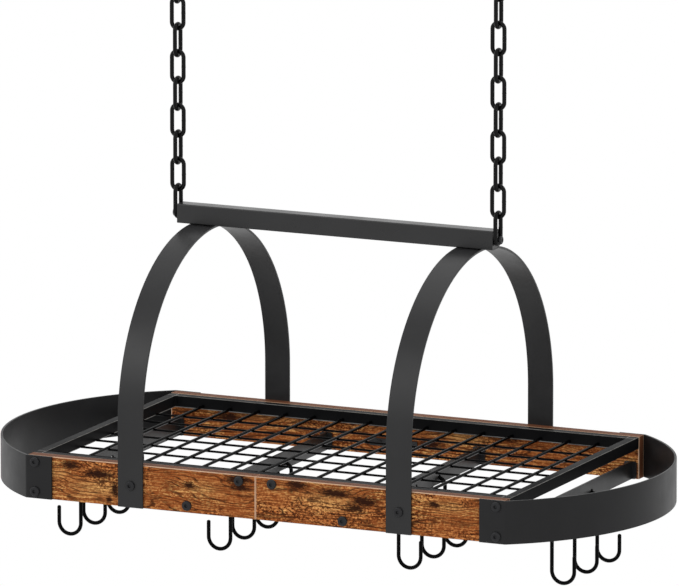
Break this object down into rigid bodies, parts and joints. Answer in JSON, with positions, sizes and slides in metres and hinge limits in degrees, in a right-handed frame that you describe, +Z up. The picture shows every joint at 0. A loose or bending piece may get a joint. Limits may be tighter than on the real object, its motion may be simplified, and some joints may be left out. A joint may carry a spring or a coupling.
{
  "type": "hanging pot rack",
  "caption": "Ceiling-hung pot rack: wooden side boards and bowed steel end bands round a wire shelf, two arches, a top bar on chains, and S-hooks on cross bars.",
  "frame": {"origin": "on the ceiling plane, midway between the two ceiling hooks", "axes": "+X along the boards and the top bar, +Y from the front board to the back board, +Z up"},
  "size_m": [0.9, 0.452, 0.8191],
  "materials": {
    "rustic_board": "rustic brown grained boards, matt to satin",
    "black_steel": "satin black powder coat",
    "black_bolt": "black oxide socket-head bolts",
    "black_hook": "satin black coated wire",
    "black_chain": "satin black coated welded links"
  },
  "bodies": {
    "ceiling_hooks": {"left_ceiling_hook": "black_steel", "right_ceiling_hook": "black_steel"},
    "left_top_link": {"left_chain_link_10": "black_chain"},
    "left_chain": {"left_chain_link_02": "black_chain", "left_chain_link_03": "black_chain", "left_chain_link_04": "black_chain", "left_chain_link_05": "black_chain", "left_chain_link_06": "black_chain", "left_chain_link_07": "black_chain", "left_chain_link_08": "black_chain", "left_chain_link_09": "black_chain"},
    "left_bottom_link": {"left_chain_link_01": "black_chain"},
    "right_top_link": {"right_chain_link_10": "black_chain"},
    "right_chain": {"right_chain_link_02": "black_chain", "right_chain_link_03": "black_chain", "right_chain_link_04": "black_chain", "right_chain_link_05": "black_chain", "right_chain_link_06": "black_chain", "right_chain_link_07": "black_chain", "right_chain_link_08": "black_chain", "right_chain_link_09": "black_chain"},
    "right_bottom_link": {"right_chain_link_01": "black_chain"},
    "rack": {"front_left_board": "rustic_board", "front_right_board": "rustic_board", "back_left_board": "rustic_board", "back_right_board": "rustic_board", "front_seam_plate": "black_steel", "back_seam_plate": "black_steel", "front_seam_bolt_left": "black_bolt", "front_seam_bolt_right": "black_bolt", "back_seam_bolt_left": "black_bolt", "back_seam_bolt_right": "black_bolt", "left_chain_bolt": "black_bolt", "right_chain_bolt": "black_bolt", "left_end_band": "black_steel", "right_end_band": "black_steel", "left_arch": "black_steel", "right_arch": "black_steel", "top_bar": "black_steel", "shelf_frame": "black_steel", "shelf_grid": "black_steel", "cross_bar_1": "black_steel", "cross_bar_2": "black_steel", "cross_bar_3": "black_steel", "cross_bar_4": "black_steel"},
    "hook_1_1_body": {"hook_1_1": "black_hook"},
    "hook_1_2_body": {"hook_1_2": "black_hook"},
    "hook_1_3_body": {"hook_1_3": "black_hook"},
    "hook_2_1_body": {"hook_2_1": "black_hook"},
    "hook_2_2_body": {"hook_2_2": "black_hook"},
    "hook_2_3_body": {"hook_2_3": "black_hook"},
    "hook_3_1_body": {"hook_3_1": "black_hook"},
    "hook_3_2_body": {"hook_3_2": "black_hook"},
    "hook_3_3_body": {"hook_3_3": "black_hook"},
    "hook_4_1_body": {"hook_4_1": "black_hook"},
    "hook_4_2_body": {"hook_4_2": "black_hook"},
    "hook_4_3_body": {"hook_4_3": "black_hook"}
  },
  "joints": [
    {"name": "left_sway", "type": "hinge", "parent": "ceiling_hooks", "child": "left_top_link", "pos_m": [-0.22505, 0, -0.04595], "axis": [1, 0, 0], "range_deg": [-15, 15]},
    {"name": "left_swing", "type": "hinge", "parent": "left_top_link", "child": "left_chain", "pos_m": [-0.22505, 0, -0.08095], "axis": [0, 1, 0], "range_deg": [-15, 15]},
    {"name": "left_level", "type": "hinge", "parent": "left_chain", "child": "left_bottom_link", "pos_m": [-0.22505, 0, -0.36095], "axis": [0, 1, 0], "range_deg": [-15, 15]},
    {"name": "right_sway", "type": "hinge", "parent": "ceiling_hooks", "child": "right_top_link", "pos_m": [0.22505, 0, -0.04595], "axis": [1, 0, 0], "range_deg": [-15, 15]},
    {"name": "right_swing", "type": "hinge", "parent": "right_top_link", "child": "right_chain", "pos_m": [0.22505, 0, -0.08095], "axis": [0, 1, 0], "range_deg": [-15, 15]},
    {"name": "right_level", "type": "hinge", "parent": "right_chain", "child": "right_bottom_link", "pos_m": [0.22505, 0, -0.36095], "axis": [0, 1, 0], "range_deg": [-15, 15]},
    {"name": "rack_tilt", "type": "hinge", "parent": "left_bottom_link", "child": "rack", "pos_m": [-0.22505, 0, -0.3962], "axis": [1, 0, 0], "range_deg": [-15, 15]},
    {"name": "hook_1_1_pendulum", "type": "hinge", "parent": "rack", "child": "hook_1_1_body", "pos_m": [-0.3215, -0.072, -0.72975], "axis": [1, 0, 0], "range_deg": [-45, 45]},
    {"name": "hook_1_2_pendulum", "type": "hinge", "parent": "rack", "child": "hook_1_2_body", "pos_m": [-0.3215, 0, -0.72975], "axis": [1, 0, 0], "range_deg": [-45, 45]},
    {"name": "hook_1_3_pendulum", "type": "hinge", "parent": "rack", "child": "hook_1_3_body", "pos_m": [-0.3215, 0.072, -0.72975], "axis": [1, 0, 0], "range_deg": [-45, 45]},
    {"name": "hook_2_1_pendulum", "type": "hinge", "parent": "rack", "child": "hook_2_1_body", "pos_m": [-0.108, -0.072, -0.72975], "axis": [1, 0, 0], "range_deg": [-45, 45]},
    {"name": "hook_2_2_pendulum", "type": "hinge", "parent": "rack", "child": "hook_2_2_body", "pos_m": [-0.108, 0, -0.72975], "axis": [1, 0, 0], "range_deg": [-45, 45]},
    {"name": "hook_2_3_pendulum", "type": "hinge", "parent": "rack", "child": "hook_2_3_body", "pos_m": [-0.108, 0.072, -0.72975], "axis": [1, 0, 0], "range_deg": [-45, 45]},
    {"name": "hook_3_1_pendulum", "type": "hinge", "parent": "rack", "child": "hook_3_1_body", "pos_m": [0.11, -0.072, -0.72975], "axis": [1, 0, 0], "range_deg": [-45, 45]},
    {"name": "hook_3_2_pendulum", "type": "hinge", "parent": "rack", "child": "hook_3_2_body", "pos_m": [0.11, 0, -0.72975], "axis": [1, 0, 0], "range_deg": [-45, 45]},
    {"name": "hook_3_3_pendulum", "type": "hinge", "parent": "rack", "child": "hook_3_3_body", "pos_m": [0.11, 0.072, -0.72975], "axis": [1, 0, 0], "range_deg": [-45, 45]},
    {"name": "hook_4_1_pendulum", "type": "hinge", "parent": "rack", "child": "hook_4_1_body", "pos_m": [0.3235, -0.072, -0.72975], "axis": [1, 0, 0], "range_deg": [-45, 45]},
    {"name": "hook_4_2_pendulum", "type": "hinge", "parent": "rack", "child": "hook_4_2_body", "pos_m": [0.3235, 0, -0.72975], "axis": [1, 0, 0], "range_deg": [-45, 45]},
    {"name": "hook_4_3_pendulum", "type": "hinge", "parent": "rack", "child": "hook_4_3_body", "pos_m": [0.3235, 0.072, -0.72975], "axis": [1, 0, 0], "range_deg": [-45, 45]}
  ],
  "couplings": [
    {"joint": "left_level", "follows": "left_swing", "ratio": -1},
    {"joint": "right_sway", "follows": "left_sway", "ratio": 1},
    {"joint": "right_swing", "follows": "left_swing", "ratio": 1},
    {"joint": "right_level", "follows": "left_swing", "ratio": -1}
  ]
}
